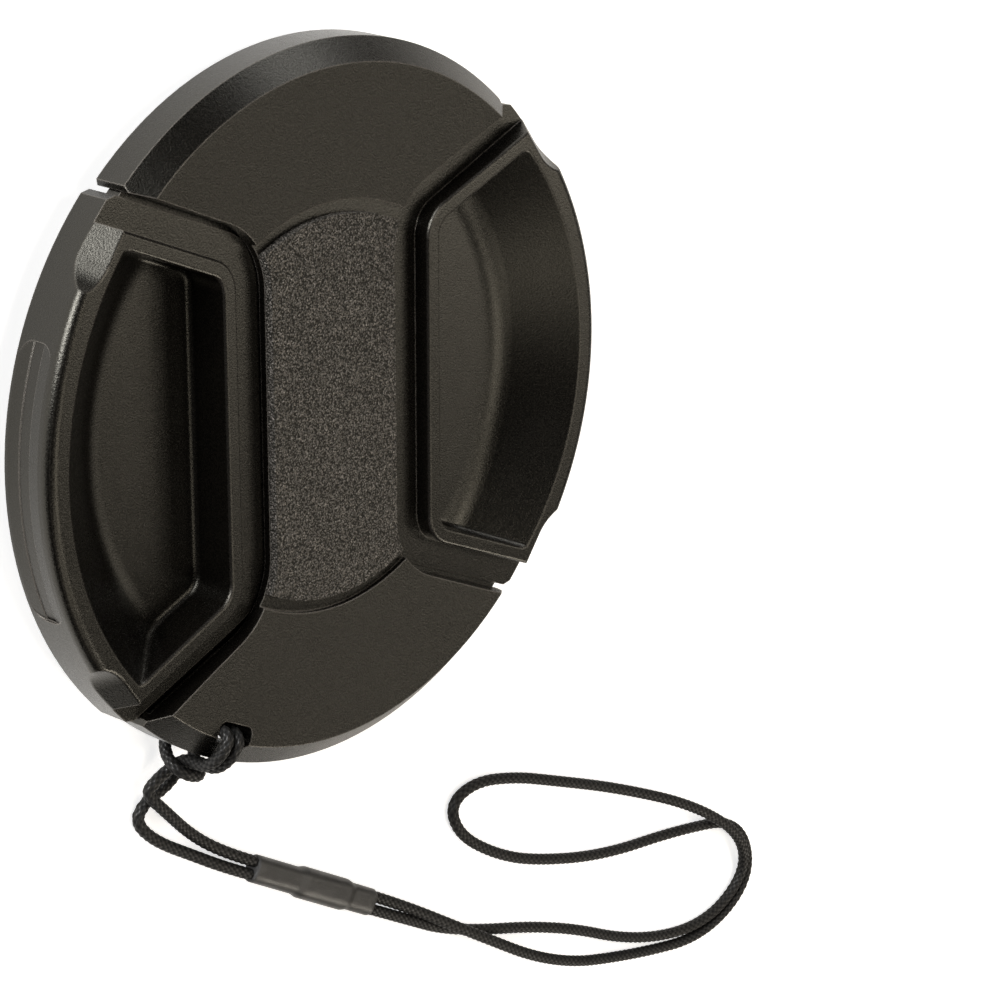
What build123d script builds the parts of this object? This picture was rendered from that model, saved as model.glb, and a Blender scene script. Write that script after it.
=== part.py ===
"""Centre-pinch camera lens cap for a 77 mm filter thread, with a leash. Millimetres, +Z out of the front.

The cap lies on its back on the plane z = 0, with its axis on Z. The clips slide along X.
"""

import os
from math import atan, cos, degrees, pi, radians, sin, tan

from build123d import *

os.makedirs("parts", exist_ok=True)

# Cap as a whole
cap_radius = 40.5
face_height = 9.8
rim_bottom = 3.0
rim_wall = 1.6
bevel_width = 2.45
bevel_drop = 2.5
dish_drop = 1.65
rim_end_chamfer = 0.7
rim_end_skin = 0.6

# Openings for the clips: straight inner edge, flared ends, rounded inner corners
opening_x = 9.4
opening_half = 21.2
opening_corner = 9.0
opening_draw = 0.3
flare_angle = 23.8

# Badge plate in its round seat
badge_radius = 21.6
badge_groove = 1.5
badge_thick = 0.95
seat_drop = 1.7

# Rear cover
cover_thick = 1.2
cover_gap = 0.3
foot_ring_wall = 1.6
foot_ring_half_angle = 37.0

# Clips: sliding band with flanges, collar and finger pocket
clip_proud = 0.7
clip_travel = 1.15
slide_gap = 0.2
slide_lift = 0.4
slide_end_gap = 0.5
flange_thick = 1.9
flange_reach = 1.2
band_drop = 2.75
band_gap = 0.85
band_width = 3.2
band_end_chamfer = 0.7
tongue_end = 3.0
tongue_half = 13.0
collar_back = 4.87
collar_corner = 4.2
collar_lift = 0.3
collar_fall = 0.9
collar_edge_radius = 1.3
collar_lip_radius = 0.35
pocket_wall = 1.8
pocket_rim = 2.6
pocket_slope = 7.6
pocket_crease = 5.0
pocket_lift = 0.6
pocket_bottom_wall = 1.2
pocket_foot_radius = 0.6
scoop_depth = 2.3
scoop_bite = 0.07
scoop_radius = 7.0
scoop_angle = 35.3
scoop_run = 8.0

# Stepped grip on the clips' outer walls
grip_half_angle = 21.5
grip_rise = 1.15
grip_lift = 0.4
grip_depth = 0.32
grip_step = 0.1
grip_corner = 1.8

# Thread arcs behind the clips
thread_inset = 2.45
thread_depth = 0.35
thread_pitch = 0.75
thread_turns = 3
thread_wall = 1.6
thread_bottom = 0.2
core_wall = 1.5
core_half_angle = 30.0

# Springs
spring_y = 7.5
spring_clear = 0.125
spring_wire = 0.36
spring_pitch = 1.8
spring_grip = 6.0
spring_room = 0.25
nib_length = 1.2
nib_share = 0.65

# Shell's ribs, walls and bosses
opening_wall = 1.4
opening_wall_back = 6.6
guide_gap = 0.25
guide_wall = 1.2
guide_back = 2.9
boss_x = 7.0
boss_inset = 10.5
boss_radius = 2.2
peg_radius = 0.85
peg_length = 2.4
peg_gap = 0.05

# Leash hole
hole_angle = 243.5
hole_inset = 3.3
hole_width = 5.2
hole_depth = 2.4
hole_corner = 0.9
leash_way = 6.2

# Leash
cord_diameter = 1.45
cord_lay = 0.73
cord_cross = 2.28
cord_side = 0.95
bight_side = 2.75
sleeve_out = 11.9
sleeve_side = 18.3
sleeve_turn = 86.5
sleeve_length = 21.5
sleeve_width = 3.3
sleeve_height = 2.2
sleeve_swell = 0.5
sleeve_lip = 0.2
strand_side = 0.78

# Radii and heights that follow
face_radius = cap_radius - bevel_width
rim_inner = cap_radius - rim_wall
seat_radius = badge_radius + badge_groove
seat_floor = face_height - seat_drop
cover_top = rim_bottom + cover_thick
slide_bottom = cover_top + slide_lift
flange_top = slide_bottom + flange_thick
band_height = face_height - band_drop
plate_underside = band_height + slide_gap
wall_foot = flange_top + slide_gap
draw_angle = degrees(atan(opening_draw / (face_height - plate_underside)))
clip_close = clip_travel * sin(radians(flare_angle))
groove_radius = cap_radius - rim_end_skin
groove_reach = flange_reach + clip_close + slide_gap
clip_radius = cap_radius + clip_proud
collar_x = opening_x + collar_back
collar_inset = band_gap + band_width
collar_outer_height = face_height + collar_lift
collar_inner_height = collar_outer_height - collar_fall
pocket_x = collar_x + pocket_wall
pocket_inset = collar_inset + pocket_wall
pocket_radius = clip_radius - pocket_rim
pocket_floor_radius = pocket_radius - pocket_slope
pocket_floor = rim_bottom + pocket_lift
bucket_bottom = pocket_floor - pocket_bottom_wall
slope_rise = (collar_outer_height - pocket_floor) / pocket_slope
core_radius = pocket_floor_radius + core_wall / sin(atan(slope_rise)) - pocket_bottom_wall / slope_rise
grip_top = band_height + grip_rise
grip_bottom = rim_bottom + grip_lift
grip_band = (grip_top - grip_bottom) / 3
grip_half = clip_radius * sin(radians(grip_half_angle))
thread_root = cap_radius - thread_inset
thread_crest = thread_root + thread_depth
thread_inner = thread_root - thread_wall
guide_half = opening_x - guide_back
slide_x = guide_half + clip_travel + slide_end_gap
spring_seat = tongue_end + spring_grip
spring_z = (slide_bottom + band_height) / 2
spring_radius = (band_height - slide_bottom) / 2 - spring_clear
boss_y = cap_radius - boss_inset
cover_x = collar_x - clip_travel - cover_gap
cover_inset = collar_inset - clip_close - cover_gap
cover_radius = clip_radius - rim_wall - clip_travel - cover_gap
foot_ring_half = cover_radius * sin(radians(foot_ring_half_angle))
hole_radius = cap_radius - hole_inset
sleeve_lay = (sleeve_height + sleeve_swell) / 2 + cord_lay - cord_diameter / 2
tall = face_height + 5.0
far = cap_radius + 6.0


def flare_half(x, inset):
    """Half height of a flared outline at x, set in from the opening's edge."""
    flare = radians(flare_angle)
    return opening_half + (x - opening_x) * tan(flare) - inset / cos(flare)


def flared(inner_x, inset, corner):
    """Flared outline on the +X side, running out past the rim, with rounded inner corners."""
    with BuildSketch() as outline:
        with BuildLine():
            Polyline(
                (inner_x, flare_half(inner_x, inset)),
                (far, flare_half(far, inset)),
                (far, -flare_half(far, inset)),
                (inner_x, -flare_half(inner_x, inset)),
                close=True,
            )
        make_face()
        fillet(outline.vertices().group_by(Axis.X)[0], corner)
    return outline.sketch


def both_sides(outline):
    """An outline on the +X side together with its mirror image."""
    with BuildSketch() as pair:
        add(outline)
        mirror(about=Plane.YZ)
    return pair.sketch


def turned_plane(angle):
    """The XZ plane turned about the cap's axis."""
    return Plane(
        origin=(0, 0, 0),
        x_dir=(cos(radians(angle)), sin(radians(angle)), 0),
        z_dir=(sin(radians(angle)), -cos(radians(angle)), 0),
    )


def planar_radius(edge):
    """Distance of an edge's middle from the cap's axis."""
    return Vector(edge.center().X, edge.center().Y).length


def dish_height(radius):
    """Height of the dished front face at a radius."""
    return face_height - dish_drop * (1 - (radius / face_radius) ** 2)


# Clip openings, whose walls draw in from the front face down to the plate's underside
with BuildPart() as openings:
    with BuildSketch(Plane.XY.offset(plate_underside)):
        add(both_sides(flared(opening_x, opening_draw, opening_corner)))
    extrude(amount=tall, taper=-draw_angle)
    with BuildSketch():
        add(both_sides(flared(opening_x, opening_draw, opening_corner)))
    extrude(amount=plate_underside)

# Front shell
with BuildPart() as front_shell:
    with BuildSketch(Plane.XZ):
        with BuildLine():
            rim = Polyline(
                (0, plate_underside),
                (rim_inner, plate_underside),
                (rim_inner, rim_bottom),
                (cap_radius, rim_bottom),
                (cap_radius, face_height - bevel_drop),
                (face_radius, face_height),
            )
            dish = ThreePointArc(
                rim @ 1,
                (face_radius / 2, dish_height(face_radius / 2)),
                (0, dish_height(0)),
            )
            Line(dish @ 1, rim @ 0)
        make_face()
    revolve(axis=Axis.Z)
    with BuildSketch(Plane.XY.offset(seat_floor)):
        Circle(seat_radius)
    extrude(amount=tall, mode=Mode.SUBTRACT)
    add(openings.part, mode=Mode.SUBTRACT)
    rim_ends = front_shell.edges().filter_by(Axis.Z).filter_by(
        lambda edge: planar_radius(edge) > cap_radius - rim_wall / 2
    )
    chamfer(rim_ends, rim_end_chamfer)
    with BuildSketch(Plane.XY.offset(rim_bottom)):
        add(both_sides(flared(opening_x, -groove_reach, opening_corner)))
        Circle(groove_radius, mode=Mode.INTERSECT)
    extrude(amount=wall_foot - rim_bottom, mode=Mode.SUBTRACT)
    with BuildSketch(Plane.XY.offset(wall_foot)):
        add(flared(opening_x, -opening_wall, opening_corner))
        add(flared(opening_x, 0, opening_corner), mode=Mode.SUBTRACT)
        Rectangle(2 * (opening_x + opening_wall_back), 2 * far, mode=Mode.SUBTRACT)
        Circle(rim_inner + rim_wall / 2, mode=Mode.INTERSECT)
        mirror(about=Plane.YZ)
    extrude(amount=plate_underside - wall_foot)
    with BuildSketch(Plane.XY.offset(cover_top)):
        guide_y = tongue_half + guide_gap + guide_wall / 2
        with Locations((0, guide_y), (0, -guide_y)):
            Rectangle(2 * guide_half, guide_wall)
        with GridLocations(2 * boss_x, 2 * boss_y, 2, 2):
            Circle(boss_radius)
    extrude(amount=plate_underside - cover_top)
    with BuildSketch(Plane.XY.offset(cover_top)):
        with GridLocations(2 * boss_x, 2 * boss_y, 2, 2):
            Circle(peg_radius + peg_gap)
    extrude(amount=peg_length + cover_gap, mode=Mode.SUBTRACT)
    with BuildSketch():
        with PolarLocations(hole_radius, 1, start_angle=hole_angle):
            RectangleRounded(hole_depth, hole_width, hole_corner)
    extrude(amount=tall, mode=Mode.SUBTRACT)
front_shell.part.label = "front_shell"
export_step(front_shell.part, "parts/front_shell.step")

# Badge plate: a thin disc in the seat, cut off flush with the bridge's sides
with BuildPart() as badge_plate:
    with BuildSketch(Plane.XY.offset(seat_floor)):
        Circle(badge_radius)
    extrude(amount=badge_thick)
    add(openings.part, mode=Mode.SUBTRACT)
badge_plate.part.label = "badge_plate"
export_step(badge_plate.part, "parts/badge_plate.step")

# Hollow of a finger pocket: flat floor, conical outer slope and upright inner walls
with BuildPart() as pocket:
    with BuildSketch(turned_plane(180)) as pocket_profile:
        with BuildLine():
            Polyline(
                (0, pocket_floor),
                (pocket_floor_radius, pocket_floor),
                (pocket_radius, collar_outer_height),
                (pocket_radius, tall),
                (0, tall),
                close=True,
            )
        make_face()
        creases = pocket_profile.vertices().filter_by_position(Axis.X, 1, pocket_radius - 1)
        fillet(creases, pocket_crease)
    revolve(axis=Axis.Z)
    with BuildSketch():
        add(flared(pocket_x, pocket_inset, collar_corner - pocket_wall))
    extrude(amount=tall, mode=Mode.INTERSECT)
    floor_edges = pocket.edges().filter_by_position(Axis.Z, pocket_floor - 0.01, pocket_floor + 0.01)
    fillet(floor_edges.sort_by(SortBy.LENGTH)[:-1], pocket_foot_radius)

# Hollows at the upper and lower outer corners of a collar, running down and out over the band
with BuildPart() as scoops:
    scoop_foot = Vector(clip_radius, 0, band_height - scoop_bite)
    scoop_line = (Vector(clip_radius - scoop_depth, 0, collar_outer_height) - scoop_foot).normalized()
    scoop_middle = scoop_foot + Vector(scoop_line.Z, 0, -scoop_line.X) * scoop_radius
    scoop_plane = Plane(
        origin=scoop_middle.rotate(Axis.Z, scoop_angle),
        x_dir=Vector(0, 1, 0).rotate(Axis.Z, scoop_angle),
        z_dir=scoop_line.rotate(Axis.Z, scoop_angle),
    )
    with BuildSketch(scoop_plane):
        Circle(scoop_radius)
        with Locations((scoop_run / 2, 0)):
            Rectangle(scoop_run, 2 * scoop_radius)
    extrude(amount=tall, both=True)
    mirror(about=Plane.XZ)

# Shallow recess of a clip's outer wall, in three bands with a step between them
with BuildPart() as grip:
    with BuildSketch(turned_plane(180)):
        with BuildLine():
            Polyline(
                (far, grip_top),
                (clip_radius, grip_top),
                (clip_radius - grip_depth + grip_step, grip_top - grip_band),
                (clip_radius - grip_depth, grip_top - grip_band),
                (clip_radius - grip_depth, grip_bottom + grip_band),
                (clip_radius - grip_depth + grip_step, grip_bottom + grip_band),
                (clip_radius, grip_bottom),
                (far, grip_bottom),
                close=True,
            )
        make_face()
    revolve(axis=Axis.Z)
    with BuildSketch(Plane.YZ):
        with Locations((0, (grip_top + grip_bottom) / 2)):
            RectangleRounded(2 * grip_half, grip_top - grip_bottom, grip_corner)
    extrude(amount=far, mode=Mode.INTERSECT)

# Right clip
with BuildPart() as right_clip:
    with BuildSketch(turned_plane(180)):
        with BuildLine():
            ridges = [(thread_root, thread_bottom)]
            for turn in range(thread_turns):
                ridges.append((thread_crest, thread_bottom + (turn + 0.5) * thread_pitch))
                ridges.append((thread_root, thread_bottom + (turn + 1) * thread_pitch))
            Polyline(
                (0, bucket_bottom),
                (thread_inner, bucket_bottom),
                (thread_inner, thread_bottom),
                *ridges,
                (thread_root, rim_bottom),
                (far, rim_bottom),
                (far, tall),
                (0, tall),
                close=True,
            )
        make_face()
    revolve(axis=Axis.Z)
    with BuildSketch():
        add(flared(collar_x, collar_inset, collar_corner))
    extrude(amount=tall, mode=Mode.INTERSECT)
    collar_rise = atan((collar_outer_height - collar_inner_height) / (clip_radius - collar_x))
    split(
        bisect_by=Plane(
            origin=(clip_radius, 0, collar_outer_height),
            z_dir=(-sin(collar_rise), 0, cos(collar_rise)),
        ),
        keep=Keep.BOTTOM,
    )
    with BuildSketch(Plane.XY.offset(slide_bottom)):
        add(flared(slide_x, band_gap, opening_corner))
        with Locations(((tongue_end + collar_x) / 2, 0)):
            Rectangle(collar_x - tongue_end, 2 * tongue_half)
    extrude(amount=band_height - slide_bottom)
    with BuildSketch(Plane.XY.offset(rim_bottom)):
        add(flared(slide_x, band_gap, opening_corner))
        Circle(clip_radius - rim_wall, mode=Mode.SUBTRACT)
    extrude(amount=band_height - rim_bottom)
    with BuildSketch():
        with Locations(Rotation(0, 0, 180)):
            Circle(clip_radius)
    extrude(amount=tall, mode=Mode.INTERSECT)
    band_ends = right_clip.edges().filter_by(Axis.Z).filter_by(
        lambda edge: planar_radius(edge) > clip_radius - 0.01 and edge.center().Z < band_height
    )
    chamfer(band_ends, band_end_chamfer)
    with BuildSketch(Plane.XY.offset(slide_bottom)):
        add(flared(slide_x, -flange_reach, opening_corner))
        Circle(groove_radius - slide_gap, mode=Mode.INTERSECT)
    extrude(amount=flange_top - slide_bottom)
    outer_edges = right_clip.edges().filter_by_position(
        Axis.Z, collar_outer_height - 0.01, collar_outer_height + 0.01
    )
    fillet(outer_edges, collar_edge_radius)
    add(scoops.part, mode=Mode.SUBTRACT)
    add(pocket.part, mode=Mode.SUBTRACT)
    collar_top = right_clip.faces().filter_by(GeomType.PLANE).sort_by(Axis.Z)[-1]
    fillet(collar_top.edges(), collar_lip_radius)
    add(grip.part, mode=Mode.SUBTRACT)
    with BuildSketch(turned_plane(-core_half_angle)):
        with BuildLine():
            Polyline(
                (core_radius, bucket_bottom),
                (thread_inner, bucket_bottom),
                (thread_inner, bucket_bottom + (thread_inner - core_radius) * slope_rise),
                close=True,
            )
        make_face()
    revolve(axis=Axis.Z, revolution_arc=2 * core_half_angle, mode=Mode.SUBTRACT)
    with BuildSketch(Plane.XY.offset(slide_bottom)):
        with Locations((spring_seat / 2, spring_y), (spring_seat / 2, -spring_y)):
            Rectangle(spring_seat, 2 * (spring_radius + spring_room))
    extrude(amount=band_height - slide_bottom, mode=Mode.SUBTRACT)
    with BuildSketch(Plane.YZ.offset(spring_seat)):
        with Locations((spring_y, spring_z), (-spring_y, spring_z)):
            Circle(nib_share * (spring_radius - spring_wire))
    extrude(amount=-nib_length)
right_clip.part.label = "right_clip"
export_step(right_clip.part, "parts/right_clip.step")

# Left clip: the right one mirrored
with BuildPart() as left_clip:
    mirror(right_clip.part, about=Plane.YZ)
left_clip.part.label = "left_clip"
export_step(left_clip.part, "parts/left_clip.step")


def compression_spring(y):
    """Coil along X between the two clips' seats."""
    free_length = 2 * spring_seat - spring_wire
    with BuildPart() as spring:
        with BuildLine() as coil:
            Helix(
                spring_pitch,
                free_length,
                spring_radius - spring_wire / 2,
                center=(-free_length / 2, y, spring_z),
                direction=(1, 0, 0),
            )
        with BuildSketch(Plane(origin=coil.line @ 0, z_dir=coil.line % 0)):
            Circle(spring_wire / 2)
        sweep()
    return spring.part


# Springs
upper_spring = compression_spring(spring_y)
upper_spring.label = "upper_spring"
export_step(upper_spring, "parts/upper_spring.step")
lower_spring = compression_spring(-spring_y)
lower_spring.label = "lower_spring"
export_step(lower_spring, "parts/lower_spring.step")

# Rear cover: plate with ways for the clips, pegs into the shell's bosses, and the foot ring it lies on
with BuildPart() as rear_cover:
    with BuildSketch(Plane.XY.offset(rim_bottom)):
        Circle(cover_radius)
        add(both_sides(flared(cover_x, cover_inset, collar_corner)), mode=Mode.SUBTRACT)
    extrude(amount=cover_thick)
    with BuildSketch():
        Circle(cover_radius)
        Circle(cover_radius - foot_ring_wall, mode=Mode.SUBTRACT)
        Rectangle(2 * foot_ring_half, 2 * far, mode=Mode.INTERSECT)
    extrude(amount=rim_bottom)
    with BuildSketch(Plane.XY.offset(cover_top)):
        with GridLocations(2 * boss_x, 2 * boss_y, 2, 2):
            Circle(peg_radius)
    extrude(amount=peg_length)
    with BuildSketch():
        with PolarLocations(far / 2 + hole_radius - hole_depth / 2 - cover_gap, 1, start_angle=hole_angle):
            Rectangle(far, leash_way)
    extrude(amount=cover_top, mode=Mode.SUBTRACT)
rear_cover.part.label = "rear_cover"
export_step(rear_cover.part, "parts/rear_cover.step")


def by_hole(out, side, z):
    """A point by its distance out from the rim at the leash hole, its distance sideways, and its height."""
    turned = Vector(cap_radius + out, side).rotate(Axis.Z, hole_angle)
    return Vector(turned.X, turned.Y, z)


def by_sleeve(along, side, z):
    """A point by its distance along the sleeve, its distance beside the sleeve's middle, and its height."""
    turned = Vector(along, side).rotate(Axis.Z, sleeve_turn)
    return by_hole(sleeve_out + turned.X, sleeve_side + turned.Y, z)


def cord_tube(name, route):
    """Round tube along straight runs, with a tangent arc at each corner."""
    radii = []
    for before, corner, after in zip(route, route[1:], route[2:]):
        run_in = corner - before
        run_out = after - corner
        half_turn = radians(run_in.get_angle(run_out)) / 2
        radii.append(0.45 * min(run_in.length, run_out.length) / tan(half_turn))
    with BuildPart() as tube:
        with BuildLine() as path:
            FilletPolyline(*route, radius=radii)
        centre = path.wire()
        with BuildSketch(Plane(origin=centre @ 0, z_dir=centre % 0)):
            Circle(cord_diameter / 2)
        sweep()
    tube.part.label = name
    section = pi * cord_diameter ** 2 / 4
    print(name, "length", round(centre.length, 1), "smallest radius", round(min(radii), 2))
    print(name, "radii", [round(radius, 1) for radius in radii])
    print(name, "volume over section times length", round(tube.part.volume / (section * centre.length), 4))
    return tube.part


# Leash hitch: from the sleeve up over the rim and down through the hole, round its own two strands, and back
near_strand = [
    by_sleeve(0, strand_side, sleeve_lay),
    by_sleeve(-6.0, strand_side, sleeve_lay),
    by_hole(11.2, 6.1, cord_lay),
    by_hole(9.5, 1.9, cord_lay),
    by_hole(5.7, cord_side, cord_lay),
]
far_strand = [
    by_hole(6.1, -cord_side, cord_lay),
    by_hole(9.9, -1.3, cord_lay),
    by_hole(12.3, 1.0, cord_lay),
    by_hole(13.3, 5.6, cord_lay),
    by_sleeve(-6.2, -strand_side, sleeve_lay),
    by_sleeve(0, -strand_side, sleeve_lay),
]
over_rim = [
    (1.1, cord_side, cord_lay),
    (1.25, cord_side, face_height - 1.7),
    (-1.2, cord_side, face_height + 0.8),
    (-3.6, cord_side, face_height + 0.8),
    (-3.4, 1.75, rim_bottom + 2.2),
    (-3.1, 2.3, rim_bottom - 1.1),
    (0.5, bight_side, rim_bottom - 1.0),
    (4.1, bight_side, rim_bottom - 0.1),
]
up_and_through = [by_hole(out, side, z) for out, side, z in over_rim]
back_and_down = [by_hole(out, -side, z) for out, side, z in reversed(over_rim)]
leash_hitch = cord_tube("leash_hitch", near_strand + up_and_through + back_and_down + far_strand)
export_step(leash_hitch, "parts/leash_hitch.step")

# Leash sleeve: a flattened tube with a thicker middle
sleeve_sections = (
    (0, -sleeve_lip),
    (sleeve_lip, 0),
    (0.35 * sleeve_length, 0),
    (0.40 * sleeve_length, sleeve_swell),
    (0.76 * sleeve_length, sleeve_swell),
    (0.81 * sleeve_length, 0),
    (sleeve_length - sleeve_lip, 0),
    (sleeve_length, -sleeve_lip),
)
with BuildPart() as leash_sleeve:
    along = Vector(1, 0, 0).rotate(Axis.Z, hole_angle + sleeve_turn)
    across = Vector(0, 1, 0).rotate(Axis.Z, hole_angle + sleeve_turn)
    for place, swell in sleeve_sections:
        with BuildSketch(Plane(origin=by_sleeve(place, 0, sleeve_lay), x_dir=across, z_dir=along)):
            SlotOverall(sleeve_width + swell, sleeve_height + swell)
    loft(ruled=True)
leash_sleeve.part.label = "leash_sleeve"
export_step(leash_sleeve.part, "parts/leash_sleeve.step")

# Leash loop: out from the sleeve, round the end and back. Each row has the middle of the two strands,
# half their spread, and the heights of the strand going out and of the one coming back
loop_middle = (
    (by_sleeve(sleeve_length, 0, 0), strand_side, sleeve_lay, sleeve_lay),
    (by_sleeve(sleeve_length + 6.0, 0, 0), strand_side, sleeve_lay, sleeve_lay),
    (by_hole(14.6, 57.1, 0), 0.95, cord_cross, cord_lay),
    (by_hole(14.1, 76.4, 0), -2.4, cord_cross, cord_lay),
    (by_hole(12.7, 94.1, 0), -0.9, cord_lay, cord_lay),
    (by_hole(8.6, 107.7, 0), -0.85, cord_lay, cord_lay),
    (by_hole(0.1, 113.5, 0), -0.85, cord_lay, cord_lay),
    (by_hole(-6.2, 107.1, 0), -0.95, cord_lay, cord_cross),
    (by_hole(-5.5, 94.5, 0), 2.0, cord_lay, cord_cross),
    (by_hole(-2.6, 80.4, 0), 4.5, cord_lay, cord_lay),
    (by_hole(-0.8, 67.3, 0), 5.2, cord_lay, cord_lay),
    (by_hole(-0.4, 59.7, 0), 4.9, cord_lay, cord_lay),
    (by_hole(-0.2, 52.5, 0), 3.4, cord_lay, cord_lay),
)
loop_tip = by_hole(-0.1, 49.1, cord_lay)
out_strand = []
back_strand = []
for place, (middle, spread, out_height, back_height) in enumerate(loop_middle):
    ahead = loop_middle[min(place + 1, len(loop_middle) - 1)][0]
    behind = loop_middle[max(place - 1, 0)][0]
    aside = (ahead - behind).normalized().rotate(Axis.Z, 90) * spread
    out_strand.append(middle + aside + Vector(0, 0, out_height))
    back_strand.append(middle - aside + Vector(0, 0, back_height))
leash_loop = cord_tube("leash_loop", out_strand + [loop_tip] + back_strand[::-1])
export_step(leash_loop, "parts/leash_loop.step")
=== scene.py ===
# %% [markdown]
# # A centre-pinch lens cap with its leash
#
# The real thing is a black moulded cap for the front of a lens. Two sprung clips slide inwards when they
# are pinched, and a thin braided leash is tied through a slot in the rim. The solids come from the part's
# own construction. This lesson only dresses them: camera, braided cord, moulded plastic, light and floor.

from math import cos, pi, radians, sin

import bmesh
import bpy
import numpy as np
from mathutils import Matrix, Vector


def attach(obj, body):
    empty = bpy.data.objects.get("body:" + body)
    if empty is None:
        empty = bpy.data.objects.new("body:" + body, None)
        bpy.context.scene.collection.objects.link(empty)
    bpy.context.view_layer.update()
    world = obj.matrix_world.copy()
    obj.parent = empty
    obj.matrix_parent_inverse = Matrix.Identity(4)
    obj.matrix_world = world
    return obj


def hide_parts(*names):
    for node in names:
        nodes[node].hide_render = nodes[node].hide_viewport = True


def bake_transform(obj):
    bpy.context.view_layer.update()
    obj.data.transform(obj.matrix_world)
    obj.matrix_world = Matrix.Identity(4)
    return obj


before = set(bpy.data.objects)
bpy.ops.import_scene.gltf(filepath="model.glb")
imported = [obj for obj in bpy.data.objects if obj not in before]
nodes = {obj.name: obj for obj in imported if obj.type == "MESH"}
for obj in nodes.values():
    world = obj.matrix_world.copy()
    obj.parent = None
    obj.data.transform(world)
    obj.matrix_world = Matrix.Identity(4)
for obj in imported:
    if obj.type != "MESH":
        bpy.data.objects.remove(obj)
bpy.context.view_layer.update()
MM = 0.001
print("pieces of the cap:", sorted(nodes))

# %% [markdown]
# ## Camera
#
# The camera is placed by what the photograph shows of the round rim and the clips: their outlines give the
# eye, the point that it looks at, and the roll. A long lens keeps the far side of the rim nearly as large
# as the near side. The picture is square, so the sensor is set to the same width both ways.

# %% Place the camera
EYE = Vector((-255.75, 117.49, 275.56)) * MM
LOOK = Vector((0.68626, -0.32785, -0.64928)).normalized()
UP_HINT = Vector((0.23743, 0.94473, -0.22608))
SENSOR = 36.0
FOCAL = 127.93
NEAR_LIMIT = 10 * MM


def aim(look, up_hint):
    """Rotation of a camera that looks along one direction, with another one upwards in the picture."""
    right = look.cross(up_hint).normalized()
    up = right.cross(look).normalized()
    return Matrix((right, up, -look)).transposed()


lens = bpy.data.cameras.new("viewing_camera")
lens.sensor_fit = "HORIZONTAL"
lens.sensor_width = SENSOR
lens.lens = FOCAL
lens.clip_start = NEAR_LIMIT
camera = bpy.data.objects.new("viewing_camera", lens)
camera.matrix_world = Matrix.Translation(EYE) @ aim(LOOK, UP_HINT).to_4x4()
bpy.context.scene.collection.objects.link(camera)
bpy.context.scene.camera = camera
print("camera at", [round(v, 4) for v in EYE])

# %% [markdown]
# ## Route of the leash
#
# The leash is one braided cord, doubled. A bight of it goes through the slot in the rim and round its own
# two strands, which is the hitch. A shrunk sleeve holds the strands together, and beyond it they make the
# long loop that hangs the cap on a strap. The loop's points are those of the construction, with its first
# rows drawn together. The hitch's points were moved near the rim: the bight is tight, and one strand
# crosses over the other. Points near the cap count outwards from the rim at the slot, and points beside the
# sleeve count along it. All of these are in millimetres.

# %% Points of the two cords
CAP_RADIUS = 40.5
FACE_HEIGHT = 9.8
RIM_BOTTOM = 3.0
HOLE_ANGLE = radians(243.5)
CORD_DIAMETER = 1.45
CORD_LAY = 0.73
CORD_CROSS = 2.28
BIGHT_SIDE = 2.35
SLEEVE_OUT = 11.9
SLEEVE_SIDE = 18.3
SLEEVE_TURN = radians(86.5)
SLEEVE_LENGTH = 21.5
SLEEVE_LAY = 1.355
STRAND_SIDE = 0.78
STRAND_LEAD = 5.0
LOOP_LEAD = 6.0
OVER_FACE = FACE_HEIGHT + 0.8
BESIDE_WALL = FACE_HEIGHT - 1.7
INSIDE_SLOT = RIM_BOTTOM + 2.2
UNDER_RIM = RIM_BOTTOM - 1.1
BIGHT_LOW = RIM_BOTTOM - 1.0


def turned(x, y, angle):
    """A flat point turned about the origin."""
    return x * cos(angle) - y * sin(angle), x * sin(angle) + y * cos(angle)


def by_hole(out, side, z):
    """A point by its distance out from the rim at the slot, its distance sideways, and its height."""
    x, y = turned(CAP_RADIUS + out, side, HOLE_ANGLE)
    return Vector((x, y, z)) * MM


def by_sleeve(along, side, z):
    """A point by its distance along the sleeve, its distance beside the sleeve's middle, and its height."""
    x, y = turned(along, side, SLEEVE_TURN)
    return by_hole(SLEEVE_OUT + x, SLEEVE_SIDE + y, z)


near_strand = [
    by_sleeve(0, STRAND_SIDE, SLEEVE_LAY),
    by_sleeve(-STRAND_LEAD, STRAND_SIDE, SLEEVE_LAY),
    by_hole(9.8, 8.0, CORD_LAY),
    by_hole(7.4, 0.8, CORD_CROSS),
    by_hole(6.0, -2.8, CORD_CROSS),
    by_hole(4.4, -2.2, 2.5),
    by_hole(2.6, -0.75, 2.6),
    by_hole(0.85, -0.8, 4.6),
    by_hole(1.15, -1.15, BESIDE_WALL),
    by_hole(-1.2, -1.7, OVER_FACE),
    by_hole(-3.6, -1.8, OVER_FACE),
    by_hole(-3.4, -1.7, INSIDE_SLOT),
    by_hole(-3.1, -2.2, UNDER_RIM),
]
bight = [
    by_hole(0.7, -BIGHT_SIDE, BIGHT_LOW),
    by_hole(2.6, -2.1, INSIDE_SLOT),
    by_hole(2.6, 2.1, INSIDE_SLOT),
    by_hole(0.7, BIGHT_SIDE, BIGHT_LOW),
]
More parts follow.
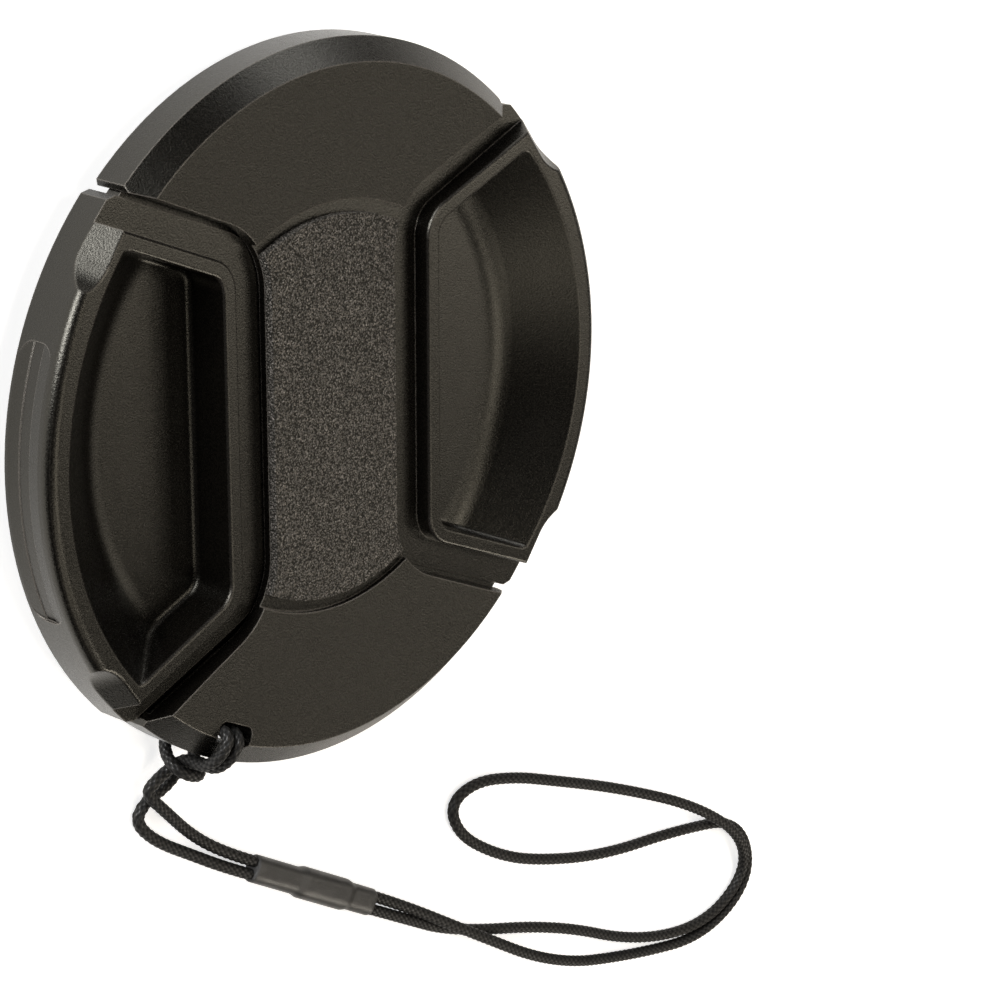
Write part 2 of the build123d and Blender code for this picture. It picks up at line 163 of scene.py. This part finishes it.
far_strand = [
    by_hole(-3.1, 2.2, UNDER_RIM),
    by_hole(-3.4, 1.3, INSIDE_SLOT),
    by_hole(-3.6, -0.2, OVER_FACE),
    by_hole(-1.2, -0.05, OVER_FACE),
    by_hole(1.15, 0.45, BESIDE_WALL),
    by_hole(0.85, 0.8, 4.6),
    by_hole(2.6, 0.75, 2.4),
    by_hole(4.8, 1.4, 0.9),
    by_hole(7.2, -1.0, CORD_LAY),
    by_hole(9.6, -1.4, CORD_LAY),
    by_hole(11.2, 2.6, CORD_LAY),
    by_hole(11.9, 9.0, CORD_LAY),
    by_sleeve(-STRAND_LEAD, -STRAND_SIDE, SLEEVE_LAY),
    by_sleeve(0, -STRAND_SIDE, SLEEVE_LAY),
]
hitch_route = near_strand + bight + far_strand

# Each row: the middle of the two strands, half their distance, and the height of either strand.
loop_middle = (
    (by_sleeve(SLEEVE_LENGTH, 0, 0), STRAND_SIDE, SLEEVE_LAY, SLEEVE_LAY),
    (by_sleeve(SLEEVE_LENGTH + LOOP_LEAD, 0, 0), 0.74, SLEEVE_LAY, SLEEVE_LAY),
    (by_hole(14.6, 57.1, 0), 0.4, CORD_CROSS, CORD_LAY),
    (by_hole(14.1, 76.4, 0), -2.4, CORD_CROSS, CORD_LAY),
    (by_hole(12.7, 94.1, 0), -0.9, CORD_LAY, CORD_LAY),
    (by_hole(8.6, 107.7, 0), -0.85, CORD_LAY, CORD_LAY),
    (by_hole(0.1, 113.5, 0), -0.85, CORD_LAY, CORD_LAY),
    (by_hole(-6.2, 107.1, 0), -0.95, CORD_LAY, CORD_CROSS),
    (by_hole(-5.5, 94.5, 0), 2.0, CORD_LAY, CORD_CROSS),
    (by_hole(-2.6, 80.4, 0), 4.5, CORD_LAY, CORD_LAY),
    (by_hole(-0.8, 67.3, 0), 5.2, CORD_LAY, CORD_LAY),
    (by_hole(-0.4, 59.7, 0), 4.9, CORD_LAY, CORD_LAY),
    (by_hole(-0.2, 52.5, 0), 3.4, CORD_LAY, CORD_LAY),
)
loop_tip = by_hole(-0.1, 49.1, CORD_LAY)
out_strand = []
back_strand = []
for place, (middle, spread, out_height, back_height) in enumerate(loop_middle):
    ahead = loop_middle[min(place + 1, len(loop_middle) - 1)][0]
    behind = loop_middle[max(place - 1, 0)][0]
    run = (ahead - behind).normalized()
    aside = Vector((-run.y, run.x, 0)) * spread * MM
    out_strand.append(middle + aside + Vector((0, 0, out_height)) * MM)
    back_strand.append(middle - aside + Vector((0, 0, back_height)) * MM)
loop_route = out_strand + [loop_tip] + back_strand[::-1]
print("hitch:", len(hitch_route), "points, loop:", len(loop_route), "points")

# %% [markdown]
# ## Smooth line along a route
#
# A cord has no corners, so its line is a NURBS curve that uses the route's points as control points. Order
# 3 keeps it close to them. The curve has no thickness here: it is turned into a mesh only to read its
# points, which the braid then follows.

# %% Read the line of a cord
LINE_STEPS = 24


def cord_line(name, route):
    """Points along the smooth line of a cord."""
    curve = bpy.data.curves.new(name, "CURVE")
    curve.dimensions = "3D"
    spline = curve.splines.new("NURBS")
    spline.points.add(len(route) - 1)
    for point, place in zip(spline.points, route):
        point.co = (*place, 1)
    spline.order_u = 3
    spline.use_endpoint_u = True
    spline.resolution_u = LINE_STEPS
    holder = bpy.data.objects.new(name, curve)
    bpy.context.scene.collection.objects.link(holder)
    bpy.context.view_layer.update()
    mesh = bpy.data.meshes.new_from_object(holder)
    line = np.array([vertex.co for vertex in mesh.vertices])
    bpy.data.meshes.remove(mesh)
    bpy.data.objects.remove(holder)
    bpy.data.curves.remove(curve)
    return line


hitch_line = cord_line("hitch_line", hitch_route)
loop_line = cord_line("loop_line", loop_route)
for name, line in (("hitch", hitch_line), ("loop", loop_line)):
    length = np.linalg.norm(np.diff(line, axis=0), axis=1).sum()
    print(name, "length in mm:", round(length / MM, 1))

# %% [markdown]
# ## Braid
#
# The cord is a round braid: two sets of yarns wind round it in opposite ways, and each yarn goes over one
# and under the next. A bump map would look flat at the outline, so the tube's own surface carries the yarns.
# For each point of the surface, two numbers count the yarns of either set. How far a number is from a whole
# one gives the yarn's round back, and the other number says whether the yarn is up or down there. The higher
# of the two yarns is what shows, and its height is kept as an attribute for the colour.

# %% Make a braided tube
YARNS_EACH_WAY = 6
YARN_PITCH = 0.95 * MM
RINGS_A_PITCH = 7
SIDES = 42
YARN_RISE = 0.12
YARN_BACK = 0.2
SAME_POINT = 1e-9


def even_steps(line, step):
    """The same line with its points at an even distance."""
    reach = np.concatenate([[0], np.cumsum(np.linalg.norm(np.diff(line, axis=0), axis=1))])
    keep = np.concatenate([[True], np.diff(reach) > SAME_POINT])
    count = int(reach[-1] / step) + 1
    where = np.linspace(0, reach[-1], count)
    columns = [np.interp(where, reach[keep], line[keep][:, axis]) for axis in range(3)]
    return where, np.stack(columns, axis=1)


def cross_frames(points):
    """Two directions across the line at each point, carried along without twist."""
    along = np.gradient(points, axis=0)
    along /= np.linalg.norm(along, axis=1)[:, None]
    first = np.zeros_like(along)
    across = np.cross(along[0], (0, 0, 1))
    for i, direction in enumerate(along):
        across = across - direction * across.dot(direction)
        across /= np.linalg.norm(across)
        first[i] = across
    return first, np.cross(along, first)


def yarn_height(own, other, sense):
    """Height of one set of yarns: round back of the nearest yarn, up or down at its crossings."""
    nearest = np.round(own)
    back = np.sqrt(np.clip(1 - (2.0 * (own - nearest)) ** 2, 0, 1))
    return YARN_BACK * back + sense * YARN_RISE * np.cos(pi * (other + nearest))


def braided_tube(name, line, diameter):
    """Closed tube along the line, with the yarns of a round braid in its surface."""
    reach, points = even_steps(line, YARN_PITCH / RINGS_A_PITCH)
    first, second = cross_frames(points)
    angle = np.arange(SIDES) * 2 * pi / SIDES
    round_count = YARNS_EACH_WAY * angle[None, :] / (2 * pi)
    along_count = reach[:, None] / YARN_PITCH
    left_count = round_count + along_count
    right_count = round_count - along_count
    height = np.maximum(
        yarn_height(left_count, right_count, 1),
        yarn_height(right_count, left_count, -1),
    )
    lift = (height - height.min()) / (height.max() - height.min())
    radius = diameter / 2 * (1 - height.max() + height)
    ring_across = first[:, None, :] * np.cos(angle)[None, :, None]
    ring_up = second[:, None, :] * np.sin(angle)[None, :, None]
    surface = (points[:, None, :] + (ring_across + ring_up) * radius[:, :, None]).reshape(-1, 3)
    rows = len(points)
    corner = np.arange(rows - 1)[:, None] * SIDES + np.arange(SIDES)[None, :]
    beside = np.arange(rows - 1)[:, None] * SIDES + (np.arange(SIDES)[None, :] + 1) % SIDES
    faces = np.stack([corner, beside, beside + SIDES, corner + SIDES], axis=2).reshape(-1, 4).tolist()
    faces.append(list(range(SIDES))[::-1])
    faces.append(list(range((rows - 1) * SIDES, rows * SIDES)))
    mesh = bpy.data.meshes.new(name)
    mesh.from_pydata(surface.tolist(), [], faces)
    mesh.shade_smooth()
    kept_lift = mesh.attributes.new("yarn_lift", "FLOAT", "POINT")
    kept_lift.data.foreach_set("value", lift.ravel().astype(np.float32))
    tube = bpy.data.objects.new(name, mesh)
    bpy.context.scene.collection.objects.link(tube)
    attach(tube, "cap")
    print(name, "faces:", len(mesh.polygons))
    return tube


hitch = braided_tube("braided_hitch", hitch_line, CORD_DIAMETER * MM)
loop = braided_tube("braided_loop", loop_line, CORD_DIAMETER * MM)
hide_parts("leash_hitch")
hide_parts("leash_loop")

# %% [markdown]
# ## Ends of the cords
#
# Both cords have the same thickness and run from the sleeve back to the sleeve.

# %% [markdown]
# ## Shader expressions
#
# A material is a graph of nodes, and sums of sockets are easier to read as sums. The small class below
# wraps a socket, so that `1 - mask * 0.5` adds its two Math nodes by itself. Every other node comes from one
# method: its type, its settings, then the values or links of its sockets.

# %% A socket that can be added and multiplied
EDGE_START = 0.998
EDGE_FULL = 0.9
BEVEL_SAMPLES = 4


class Wire:
    """A socket of one material's graph."""

    def __init__(self, finish, socket):
        self.finish = finish
        self.socket = socket

    def _math(self, operation, first, second):
        return self.finish.node("ShaderNodeMath", {"operation": operation}, {0: first, 1: second})

    def __add__(self, other):
        return self._math("ADD", self, other)

    def __radd__(self, other):
        return self._math("ADD", other, self)

    def __sub__(self, other):
        return self._math("SUBTRACT", self, other)

    def __rsub__(self, other):
        return self._math("SUBTRACT", other, self)

    def __mul__(self, other):
        return self._math("MULTIPLY", self, other)

    def __rmul__(self, other):
        return self._math("MULTIPLY", other, self)


class Finish:
    """A material with a Principled shader, and the one method that adds nodes to it."""

    def __init__(self, name, **constants):
        self.material = bpy.data.materials.new(name)
        self.material.use_nodes = True
        self.tree = self.material.node_tree
        self.shader = self.tree.nodes["Principled BSDF"]
        for socket, value in constants.items():
            self.shader.inputs[socket.replace("_", " ")].default_value = value
        self.place = self.node("ShaderNodeTexCoord", {}, {}, output="Object")

    def node(self, kind, settings, sockets, output=0):
        """Adds any node, sets it up, and gives back one of its outputs."""
        made = self.tree.nodes.new(kind)
        for key, value in settings.items():
            setattr(made, key, value)
        for key, value in sockets.items():
            if isinstance(value, Wire):
                self.tree.links.new(value.socket, made.inputs[key])
            else:
                made.inputs[key].default_value = value
        return Wire(self, made.outputs[output])

    def feed(self, socket, wire):
        """Links a wire to one of the shader's own sockets."""
        self.tree.links.new(wire.socket, self.shader.inputs[socket])

    def noise(self, size, detail=2.0, roughness=0.5):
        """Soft noise from 0 to 1 whose patches are about one size across, in metres."""
        return self.node(
            "ShaderNodeTexNoise",
            {},
            {"Vector": self.place, "Scale": 1 / size, "Detail": detail, "Roughness": roughness},
        )

    def spread(self, wire, low, high, start=0.0, stop=1.0):
        """A value between start and stop, moved to lie between low and high and held there."""
        return self.node(
            "ShaderNodeMapRange",
            {"clamp": True},
            {"Value": wire, "From Min": start, "From Max": stop, "To Min": low, "To Max": high},
        )

    def mix(self, amount, first, second):
        """A colour between two colours."""
        return self.node(
            "ShaderNodeMix", {"data_type": "RGBA"}, {"Factor": amount, 6: first, 7: second}, output=2
        )

    def rounded(self, radius):
        """Normals as if each edge were rounded."""
        return self.node("ShaderNodeBevel", {"samples": BEVEL_SAMPLES}, {"Radius": radius})

    def edge(self, rounded):
        """Rises from 0 to 1 where rounding has turned the normal away from the face."""
        flat = self.node("ShaderNodeNewGeometry", {}, {}, output="True Normal")
        agreement = self.node(
            "ShaderNodeVectorMath", {"operation": "DOT_PRODUCT"}, {0: rounded, 1: flat}, output="Value"
        )
        return self.spread(agreement, 1.0, 0.0, EDGE_FULL, EDGE_START)

    def bump(self, height, depth, normal):
        """Normals of a surface with that relief, as deep as stated in metres."""
        return self.node(
            "ShaderNodeBump", {}, {"Height": height, "Distance": depth, "Strength": 1.0, "Normal": normal}
        )


def dress(finish, *names):
    """Gives a finish to carried-over solids."""
    for name in names:
        nodes[name].data.materials.clear()
        nodes[name].data.materials.append(finish.material)


def grey(level, warmth=0.0):
    """A nearly neutral colour, with a little more red and less blue when warm."""
    return (level * (1 + warmth), level, level * (1 - warmth), 1.0)


print("shader helpers ready")

# %% [markdown]
# ## Moulded black plastic
#
# Shell, clips and cover are black ABS from a finely etched mould. The etch gives a very fine grain, a broad
# soft gloss and no clear reflection. Real moulded edges are never sharp: the Bevel node turns the normals at
# an edge, which costs no faces. Where it has turned them, the base colour is painted paler, a painted
# highlight: a thin light line along each edge and crease. Slow noise makes the gloss uneven, as handling
# does.

# %% Etched plastic of the shell, the clips and the cover
ETCH_SIZE = 0.2 * MM
ETCH_DEPTH = 0.03 * MM
HANDLED_SIZE = 9.0 * MM
EDGE_RADIUS = 0.2 * MM
EDGE_HIGHLIGHT_LEVEL = 0.13
EDGE_HIGHLIGHT_WARMTH = 0.1
SPECK_CONTRAST = 0.8
SKIN_WARMTH = 0.2
HANDLED_SHARE = 0.5
PLASTIC_IOR = 1.5
WARM_GLOSS = (1.0, 0.97, 0.86, 1.0)


def etched_plastic(name, level, rough_low, rough_high):
    """Black plastic with a fine etched grain."""
    finish = Finish(name, IOR=PLASTIC_IOR, Specular_Tint=WARM_GLOSS)
    grain = finish.noise(ETCH_SIZE, detail=3.0, roughness=0.6)
    handled = finish.noise(HANDLED_SIZE, detail=3.0)
    speck = finish.spread(grain, 0.0, 1.0, start=0.3, stop=0.7)
    rounded = finish.rounded(EDGE_RADIUS)
    dark = grey(level * (1 - SPECK_CONTRAST), SKIN_WARMTH)
    pale = grey(level * (1 + SPECK_CONTRAST), SKIN_WARMTH)
    skin = finish.mix(speck, dark, pale)
    wear = handled * HANDLED_SHARE + speck * (1 - HANDLED_SHARE)
    # Painted highlight: the base colour turns pale along each edge and crease that the Bevel node rounds.
    finish.feed("Base Color", finish.mix(finish.edge(rounded), skin, grey(EDGE_HIGHLIGHT_LEVEL, EDGE_HIGHLIGHT_WARMTH)))
    finish.feed("Roughness", finish.spread(wear, rough_low, rough_high))
    finish.feed("Normal", finish.bump(grain, ETCH_DEPTH, rounded))
    return finish


shell_black = etched_plastic("shell_black", level=0.0015, rough_low=0.2, rough_high=0.34)
clip_black = etched_plastic("clip_black", level=0.0015, rough_low=0.2, rough_high=0.34)
cover_black = etched_plastic("cover_black", level=0.003, rough_low=0.3, rough_high=0.44)
dress(shell_black, "front_shell")
dress(clip_black, "left_clip", "right_clip")
dress(cover_black, "rear_cover")
print("plastic on shell, clips and cover")

# %% [markdown]
# ## Pebbled badge plate
#
# The plate in the middle is textured like fine leather. Rounded cells of about a quarter of a millimetre
# stand up from the ground. Their backs get a painted highlight, paler than the ground, and finer noise adds
# painted glints, pale points all over it.

# %% Pebbled plastic of the badge plate
PEBBLE_SIZE = 0.26 * MM
PEBBLE_DEPTH = 0.35 * MM
GLINT_SIZE = 0.19 * MM
WANDER_SIZE = 0.2 * MM
WANDER_SHARE = 0.35
GLINT_SHARE = 0.7
GROUND_LEVEL = 0.001
GLINT_PAINT_LEVEL = 0.25
BADGE_WARMTH = 0.1
PEBBLE_MERGE = 0.35

badge_black = Finish("badge_black", IOR=PLASTIC_IOR, Specular_Tint=WARM_GLOSS)
wander = badge_black.noise(WANDER_SIZE)
cells = badge_black.node(
    "ShaderNodeTexVoronoi",
    {"feature": "SMOOTH_F1"},
    {"Vector": badge_black.place, "Scale": 1 / PEBBLE_SIZE, "Smoothness": PEBBLE_MERGE},
)
pebble = badge_black.spread(cells + wander * WANDER_SHARE, 1.0, 0.0)
backs = badge_black.spread(pebble, 0.0, 1.0, start=0.25, stop=0.6)
glint = badge_black.spread(badge_black.noise(GLINT_SIZE), 0.0, 1.0, start=0.54, stop=0.68)
painted_highlight = backs * (1 - GLINT_SHARE) + glint * GLINT_SHARE
ground = grey(GROUND_LEVEL, BADGE_WARMTH)
point = grey(GLINT_PAINT_LEVEL, BADGE_WARMTH)
# Painted highlight: the pebble backs and the glint points are painted pale in the base colour.
badge_black.feed("Base Color", badge_black.mix(painted_highlight, ground, point))
badge_black.feed("Roughness", badge_black.spread(backs, 0.9, 0.3))
badge_black.feed("Normal", badge_black.bump(pebble, PEBBLE_DEPTH, badge_black.rounded(EDGE_RADIUS)))
dress(badge_black, "badge_plate")
print("pebble on the badge plate")

# %% [markdown]
# ## Braid yarns
#
# Each yarn is a bundle of black filaments with a silky shine. The height kept in the mesh sets a painted
# shade in the gaps between yarns and a painted sheen on their crowns, and fine noise breaks the painted
# sheen into filaments.

# %% Filament yarns of the leash
FILAMENT_SIZE = 0.12 * MM
GAP_SHADE_LEVEL = 0.0004
CROWN_SHEEN_LEVEL = 0.014
CROWN_SHEEN_WARMTH = 0.05
SHEEN_PAINT_BASE = 0.4
SHEEN_PAINT_GAIN = 1.2
SHINE_BASE = 0.7
SHINE_GAIN = 0.6

yarn_black = Finish("yarn_black", IOR=PLASTIC_IOR, Specular_IOR_Level=0.3)
lift = yarn_black.node("ShaderNodeAttribute", {"attribute_name": "yarn_lift"}, {}, output="Fac")
filament = yarn_black.noise(FILAMENT_SIZE)
crown = yarn_black.spread(lift, 0.0, 1.0, start=0.55, stop=0.95)
painted_highlight = crown * (SHEEN_PAINT_BASE + filament * SHEEN_PAINT_GAIN)
shine = crown * (SHINE_BASE + filament * SHINE_GAIN)
# Painted shade in the gaps between yarns and painted sheen on their crowns.
yarn_black.feed("Base Color", yarn_black.mix(painted_highlight, grey(GAP_SHADE_LEVEL), grey(CROWN_SHEEN_LEVEL, CROWN_SHEEN_WARMTH)))
yarn_black.feed("Roughness", yarn_black.spread(shine, 0.75, 0.3))
for cord in (hitch, loop):
    cord.data.materials.append(yarn_black.material)
print("yarns on", hitch.name, "and", loop.name)

# %% [markdown]
# ## Shrunk sleeve
#
# The sleeve is a heat-shrink tube: dark grey, semi-matt, with faint ripples where it drew in.

# %% Shrink tube of the sleeve
RIPPLE_SIZE = 2.5 * MM
RIPPLE_DEPTH = 0.15 * MM
SCUFF_SIZE = 0.14 * MM
SCUFF_SHARE = 0.2
SLEEVE_EDGE_RADIUS = 0.7 * MM
SLEEVE_DARK = 0.01
SLEEVE_PALE = 0.05
SLEEVE_WARMTH = 0.02

sleeve_grey = Finish("sleeve_grey", IOR=1.48)
ripple = sleeve_grey.noise(RIPPLE_SIZE, detail=1.0)
scuff = sleeve_grey.noise(SCUFF_SIZE)
relief = ripple + scuff * SCUFF_SHARE
ends = sleeve_grey.rounded(SLEEVE_EDGE_RADIUS)
dark = grey(SLEEVE_DARK, SLEEVE_WARMTH)
pale = grey(SLEEVE_PALE, SLEEVE_WARMTH)
sleeve_grey.feed("Base Color", sleeve_grey.mix(scuff, dark, pale))
sleeve_grey.feed("Roughness", sleeve_grey.spread(scuff, 0.3, 0.46))
sleeve_grey.feed("Normal", sleeve_grey.bump(relief, RIPPLE_DEPTH, ends))
dress(sleeve_grey, "leash_sleeve")
print("shrink tube on the sleeve")

# %% [markdown]
# ## Spring wire
#
# The two coil springs behind the bridge are drawn steel wire, pressed from both ends by the clips. Each coil
# is halved in the middle, and each half is named after the clip on its side. On the real cap, the coil gets
# shorter when the clips are pinched.

# %% Drawn wire of the springs
DRAWN_SIZE = 0.15 * MM
WIRE_DARK = 0.45
WIRE_PALE = 0.62

wire_steel = Finish("wire_steel", Metallic=1.0)
drawn = wire_steel.noise(DRAWN_SIZE)
wire_steel.feed("Base Color", wire_steel.mix(drawn, grey(WIRE_DARK), grey(WIRE_PALE)))
wire_steel.feed("Roughness", wire_steel.spread(drawn, 0.25, 0.4))


def half_spring(node_name, body, towards):
    """The half of a coil on one side of the middle, named after the clip on that side."""
    half = bpy.data.objects.new(f"{node_name}_of_{body}", nodes[node_name].data.copy())
    bpy.context.scene.collection.objects.link(half)
    coil = bmesh.new()
    coil.from_mesh(half.data)
    parts = coil.verts[:] + coil.edges[:] + coil.faces[:]
    cut = bmesh.ops.bisect_plane(
        coil, geom=parts, plane_co=(0, 0, 0), plane_no=(towards, 0, 0), clear_inner=True
    )
    cut_edges = [part for part in cut["geom_cut"] if isinstance(part, bmesh.types.BMEdge)]
    bmesh.ops.contextual_create(coil, geom=cut_edges)
    coil.to_mesh(half.data)
    coil.free()
    half.data.materials.clear()
    half.data.materials.append(wire_steel.material)
    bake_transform(half)
    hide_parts(node_name)
    return half


for spring_name in ("upper_spring", "lower_spring"):
    for body, towards in (("left_pinch", -1), ("right_pinch", 1)):
        half = half_spring(spring_name, body, towards)
        print(half.name, "faces:", len(half.data.polygons))

# %% [markdown]
# ## Floor
#
# The cap lies on a white table. The floor adds a little white of its own for the camera and for
# reflections, which brings it to paper white, shows it in the gloss of the rim's wall, and keeps the shadow.
# Reflections get less of it on the side away from the strongest lamp, where the cap shades the table.

# %% White floor
FLOOR_HALF = 3.0
TABLE_LEVEL = 0.9
CAMERA_GLOW = 0.6
GLOSS_SHARE = 0.86
SHADED_SHARE = 0.13
SHADE_START = 0.0
SHADE_FULL = -45 * MM
LEFT_AZIMUTH = 150
TOWARDS_LEFT_LAMP = (cos(radians(LEFT_AZIMUTH)), sin(radians(LEFT_AZIMUTH)), 0)

corners = [(x * FLOOR_HALF, y * FLOOR_HALF, 0) for x, y in ((-1, -1), (1, -1), (1, 1), (-1, 1))]
floor_mesh = bpy.data.meshes.new("table_top")
floor_mesh.from_pydata(corners, [], [(0, 1, 2, 3)])
floor = bpy.data.objects.new("table_top", floor_mesh)
bpy.context.scene.collection.objects.link(floor)
table_white = Finish(
    "table_white",
    Base_Color=grey(TABLE_LEVEL),
    Roughness=0.9,
    Specular_IOR_Level=0.0,
    Emission_Strength=1.0,
)
to_camera = table_white.node("ShaderNodeLightPath", {}, {}, output="Is Camera Ray")
in_gloss = table_white.node("ShaderNodeLightPath", {}, {}, output="Is Glossy Ray")
nearness = table_white.node(
    "ShaderNodeVectorMath",
    {"operation": "DOT_PRODUCT"},
    {0: table_white.place, 1: TOWARDS_LEFT_LAMP},
    output="Value",
)
unshaded = table_white.spread(nearness, SHADED_SHARE, GLOSS_SHARE, SHADE_FULL, SHADE_START)
glow = table_white.mix(to_camera + in_gloss * unshaded, grey(0.0), grey(CAMERA_GLOW))
table_white.feed("Emission Color", glow)
floor_mesh.materials.append(table_white.material)
print("floor", 2 * FLOOR_HALF, "m wide")

# %% [markdown]
# ## Lamps
#
# Black plastic has almost no colour of its own: what shows is the gloss, so each face is as light as what
# it mirrors. A strong soft lamp stands low on the left and draws the light line along the left clip's lip.
# Weaker ones stand on the other sides and overhead. The camera's own side stays dark, which leaves the
# pocket walls that mirror it nearly black. Each row gives a lamp's name, its azimuth and elevation in
# degrees, its size in metres, its watts and its colour.

# %% Lamps and world
LAMP_DISTANCE = 1.1
WORLD_FILL = 0.01
PLAIN_LIGHT = (1.0, 1.0, 1.0)
WARM_LIGHT = (1.0, 0.92, 0.8)
LAMPS = (
    ("left_lamp", LEFT_AZIMUTH, 12, 0.4, 14.0, PLAIN_LIGHT),
    ("back_left_lamp", 120, 12, 0.36, 5.0, PLAIN_LIGHT),
    ("right_lamp", 300, 32, 0.36, 3.6, WARM_LIGHT),
    ("face_lamp", 346, 38, 0.36, 0.52, WARM_LIGHT),
    ("far_lamp", 60, 12, 0.36, 1.7, PLAIN_LIGHT),
    ("far_top_lamp", 0, 52, 0.36, 1.7, WARM_LIGHT),
    ("top_lamp", 72, 72, 0.36, 2.5, WARM_LIGHT),
    ("near_top_lamp", 288, 72, 0.36, 1.6, WARM_LIGHT),
    ("front_top_lamp", 240, 52, 0.36, 1.0, WARM_LIGHT),
)


def soft_lamp(name, azimuth, elevation, size, watts, colour):
    """A square lamp that faces the cap from a direction in degrees."""
    turn, rise = radians(azimuth), radians(elevation)
    way = Vector((cos(turn) * cos(rise), sin(turn) * cos(rise), sin(rise)))
    light = bpy.data.lights.new(name, "AREA")
    light.size = size
    light.color = colour
    light.energy = watts
    lamp = bpy.data.objects.new(name, light)
    lamp.location = way * LAMP_DISTANCE
    lamp.rotation_euler = (-way).to_track_quat("-Z", "Y").to_euler()
    bpy.context.scene.collection.objects.link(lamp)


for lamp_row in LAMPS:
    soft_lamp(*lamp_row)
world = bpy.data.worlds.new("studio")
world.use_nodes = True
sky = world.node_tree.nodes["Background"]
sky.inputs["Color"].default_value = grey(1.0)
sight = world.node_tree.nodes.new("ShaderNodeLightPath")
fill = world.node_tree.nodes.new("ShaderNodeMath")
fill.operation = "MAXIMUM"
fill.inputs[1].default_value = WORLD_FILL
world.node_tree.links.new(sight.outputs["Is Camera Ray"], fill.inputs[0])
world.node_tree.links.new(fill.outputs[0], sky.inputs["Strength"])
bpy.context.scene.world = world
bpy.context.scene.view_settings.view_transform = "Standard"
print("lamps:", [row[0] for row in LAMPS])
